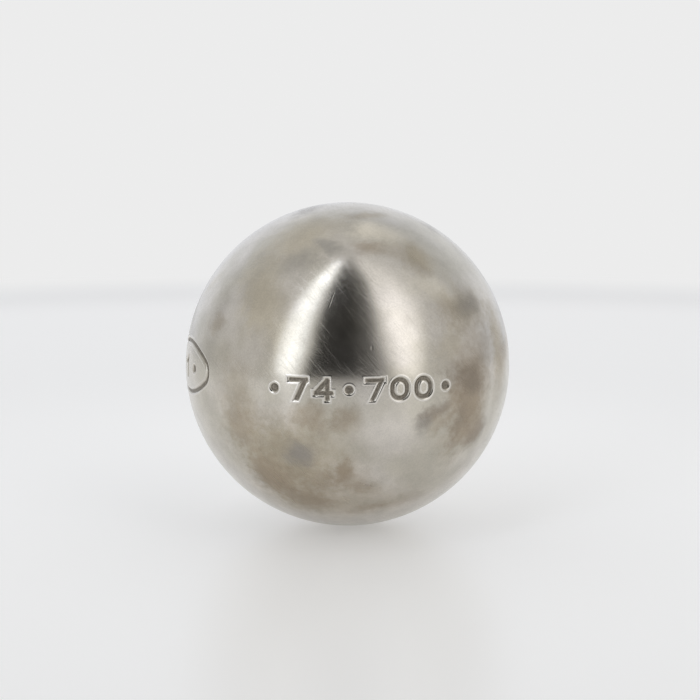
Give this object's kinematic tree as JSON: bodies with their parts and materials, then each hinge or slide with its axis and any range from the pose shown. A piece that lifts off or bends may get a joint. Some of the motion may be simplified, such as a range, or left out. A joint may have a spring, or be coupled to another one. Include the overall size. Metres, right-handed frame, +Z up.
{
  "type": "petanque boule",
  "caption": "Hollow steel petanque ball of two half shells joined by a flush seam weld, with plain stamped size and weight figures.",
  "frame": {"origin": "centre of the ball", "axes": "+Z up; +Y along the seam axis, square to the plane of the weld, away from the stamped row; the row faces -Y and its circle lies in the plane z = 0"},
  "size_m": [0.074, 0.074, 0.074],
  "materials": {
    "turned_steel": "satin turned and polished stainless steel with a mottled warm grey patina",
    "weld_steel": "filler metal turned flush and polished with the ball"
  },
  "bodies": {
    "root": {"front_half_shell": "turned_steel", "rear_half_shell": "turned_steel", "seam_weld_bead": "weld_steel"}
  },
  "joints": []
}
